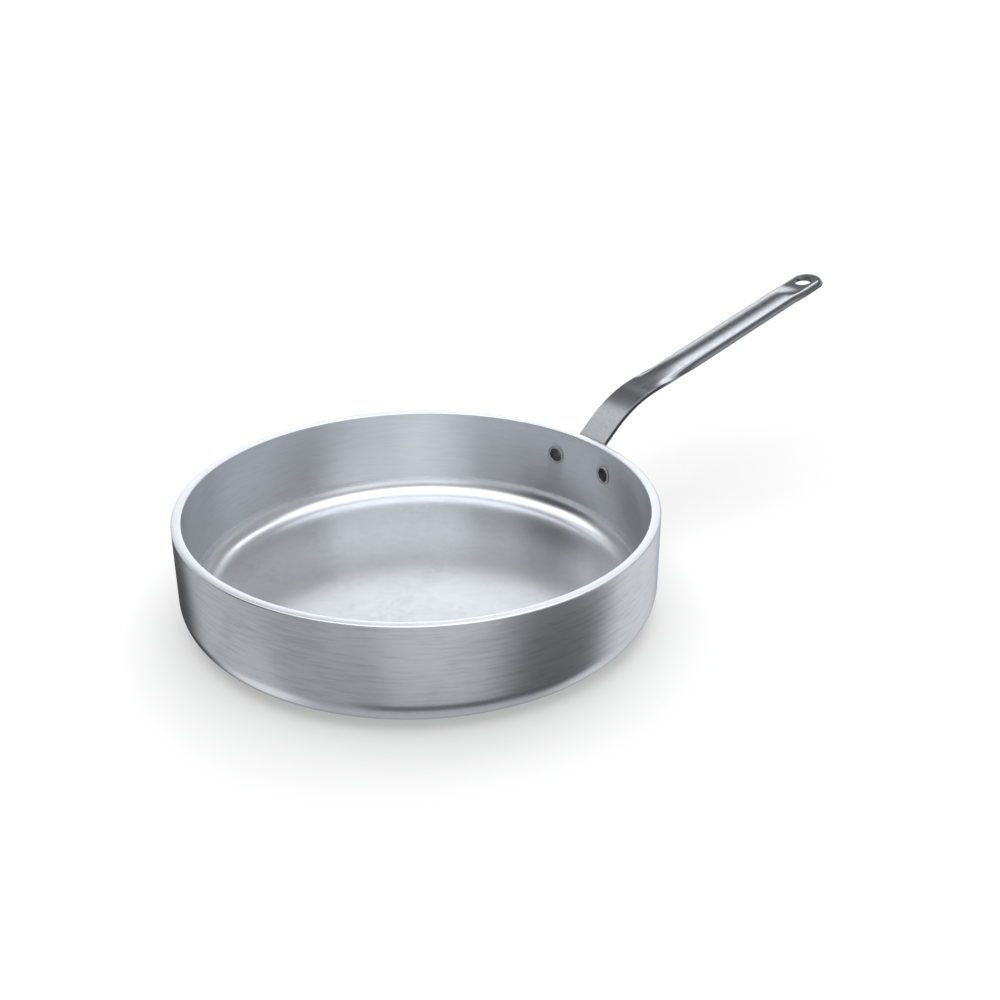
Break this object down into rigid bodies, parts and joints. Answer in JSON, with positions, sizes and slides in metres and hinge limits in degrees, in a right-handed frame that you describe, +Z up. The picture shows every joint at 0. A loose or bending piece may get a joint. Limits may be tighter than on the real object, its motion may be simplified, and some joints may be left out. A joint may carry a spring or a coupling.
{
  "type": "saute pan",
  "caption": "Straight-sided thick aluminium saute pan with a long stamped steel handle riveted below the rim, folded to a channel along the grip and holed at the tip for hanging.",
  "frame": {"origin": "centre of the flat underside, on the surface that the pan stands on", "axes": "+X from the pan's axis along the handle, +Z up out of the pan's mouth, +Y to the left of the handle"},
  "size_m": [0.5357, 0.292, 0.1307],
  "materials": {
    "body_aluminium": "satin, turned with fine horizontal lines on the walls and a mottled floor",
    "handle_steel": "semi-polished stamped sheet with a fine lengthwise grain",
    "rivet_aluminium": "plain drawn, dull in the bore"
  },
  "bodies": {
    "root": {"pan_body": "body_aluminium", "handle": "handle_steel", "rivet_left": "rivet_aluminium", "rivet_right": "rivet_aluminium"}
  },
  "joints": []
}
